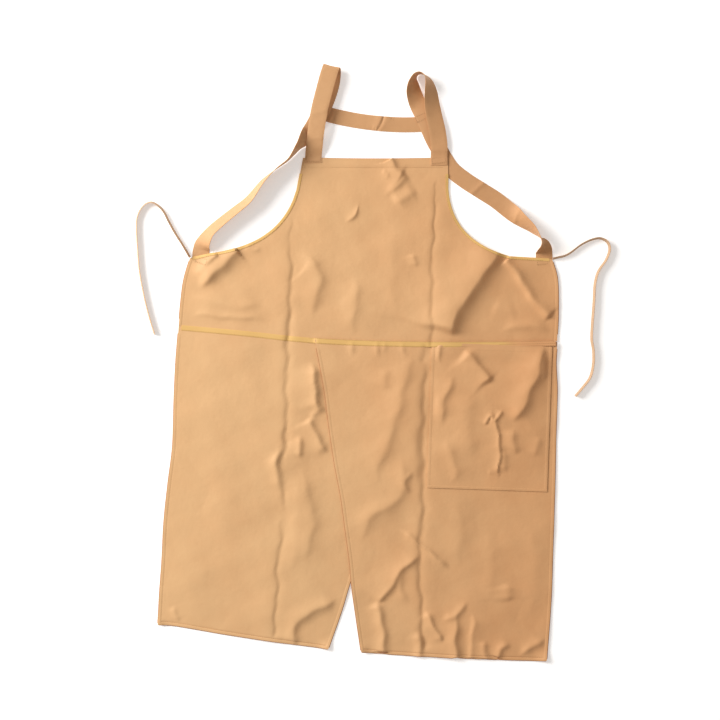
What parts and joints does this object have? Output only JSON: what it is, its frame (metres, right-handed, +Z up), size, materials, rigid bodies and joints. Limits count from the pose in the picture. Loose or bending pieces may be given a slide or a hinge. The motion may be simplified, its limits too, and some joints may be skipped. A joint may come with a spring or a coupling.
{
  "type": "split-skirt bib apron",
  "caption": "Bib apron laid flat with looped shoulder straps, a cross strap, side ties, a split overlapping skirt and one large patch pocket.",
  "frame": {"origin": "middle of the waist seam, on the surface that the apron lies on", "axes": "+Z up out of the surface, +Y from the hem to the neck, +X to the right seen from above"},
  "size_m": [0.8453, 1.0613, 0.0315],
  "materials": {
    "apron_cloth": "plain woven polyester-cotton, light tan, soft sheen",
    "hem_cloth": "the same cloth turned over and stitched",
    "strap_cloth": "the same cloth folded into a flat strap with stitched edges",
    "tie_tape": "narrow folded tape",
    "golden_trim": "golden thread and piping"
  },
  "bodies": {
    "upper": {"bib_panel": "apron_cloth", "bib_top_hem": "hem_cloth", "left_armhole_binding": "golden_trim", "right_armhole_binding": "golden_trim", "left_bib_side_hem": "hem_cloth", "right_bib_side_hem": "hem_cloth", "waist_seam_facing": "hem_cloth", "waist_topstitch_band": "golden_trim", "left_shoulder_strap": "strap_cloth", "right_shoulder_strap": "strap_cloth", "cross_strap": "strap_cloth", "left_strap_stitching": "golden_trim", "right_strap_stitching": "golden_trim", "left_corner_stitching": "golden_trim", "right_corner_stitching": "golden_trim", "cross_strap_left_stitching": "golden_trim", "cross_strap_right_stitching": "golden_trim", "left_tie": "tie_tape", "right_tie": "tie_tape"},
    "left_skirt": {"left_skirt_panel": "apron_cloth", "left_skirt_side_hem": "hem_cloth", "left_skirt_bottom_hem": "hem_cloth", "left_vent_hem": "hem_cloth"},
    "right_skirt": {"right_skirt_panel": "apron_cloth", "right_skirt_side_hem": "hem_cloth", "right_skirt_bottom_hem": "hem_cloth", "right_vent_hem": "hem_cloth", "right_skirt_seam_allowance": "hem_cloth", "pocket_front": "apron_cloth", "pocket_mouth_hem": "hem_cloth", "pocket_outer_side_seam": "hem_cloth", "pocket_inner_side_seam": "hem_cloth", "pocket_bottom_seam": "hem_cloth"}
  },
  "joints": [
    {"name": "over_panel_lift", "type": "hinge", "parent": "upper", "child": "right_skirt", "pos_m": [0.331, -0.002, 0.0053], "axis": [-1, 0.0093, 0], "range_deg": [0, 120]},
    {"name": "under_panel_lift", "type": "hinge", "parent": "upper", "child": "left_skirt", "pos_m": [-0.331, 0.025, 0.0025], "axis": [-0.9951, 0.0991, 0], "range_deg": [0, 60]}
  ],
  "couplings": [
    {"joint": "under_panel_lift", "follows": "over_panel_lift", "ratio": 0.5}
  ]
}
